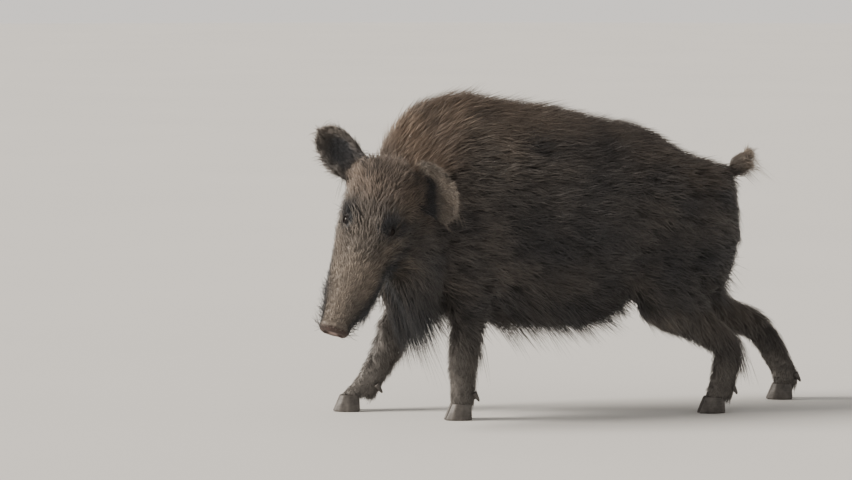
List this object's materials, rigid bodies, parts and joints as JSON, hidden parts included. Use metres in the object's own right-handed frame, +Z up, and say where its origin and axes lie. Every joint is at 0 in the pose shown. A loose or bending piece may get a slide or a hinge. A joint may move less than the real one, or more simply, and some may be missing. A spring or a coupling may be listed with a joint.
{
  "type": "wild boar model",
  "caption": "Life-size still wild boar in mid stride, head low and turned to its left, with a dense bristly coat, cloven hooves, upright ears and a short flicked tail.",
  "frame": {"origin": "on the floor, under the middle of the whole model's bounding box", "axes": "the animal faces -Y, +Y runs along the body from head to tail, +X is towards its left side, +Z is up"},
  "size_m": [0.4481, 1.256, 0.7575],
  "materials": {
    "coat": "dense dark grey-brown bristly fur with ochre tips along the mane and face",
    "snout_skin": "bare pinkish grey skin, slightly moist",
    "eye": "wet dark brown",
    "claw_horn": "worn dark horn, dusty"
  },
  "bodies": {
    "root": {"ear_left": "coat", "ear_right": "coat", "eye_left": "eye", "eye_right": "eye", "foreleg_left_cannon": "coat", "foreleg_left_claw_inner": "claw_horn", "foreleg_left_claw_outer": "claw_horn", "foreleg_left_dewclaw_inner": "claw_horn", "foreleg_left_dewclaw_outer": "claw_horn", "foreleg_left_forearm": "coat", "foreleg_right_cannon": "coat", "foreleg_right_claw_inner": "claw_horn", "foreleg_right_claw_outer": "claw_horn", "foreleg_right_dewclaw_inner": "claw_horn", "foreleg_right_dewclaw_outer": "claw_horn", "foreleg_right_forearm": "coat", "head": "coat", "hindleg_left_cannon": "coat", "hindleg_left_claw_inner": "claw_horn", "hindleg_left_claw_outer": "claw_horn", "hindleg_left_dewclaw_inner": "claw_horn", "hindleg_left_dewclaw_outer": "claw_horn", "hindleg_left_thigh": "coat", "hindleg_right_cannon": "coat", "hindleg_right_claw_inner": "claw_horn", "hindleg_right_claw_outer": "claw_horn", "hindleg_right_dewclaw_inner": "claw_horn", "hindleg_right_dewclaw_outer": "claw_horn", "hindleg_right_thigh": "coat", "lower_jaw": "coat", "neck": "coat", "snout": "snout_skin", "tail": "coat", "throat": "coat", "trunk_barrel": "coat", "trunk_hindquarters": "coat", "trunk_shoulders": "coat"}
  },
  "joints": []
}
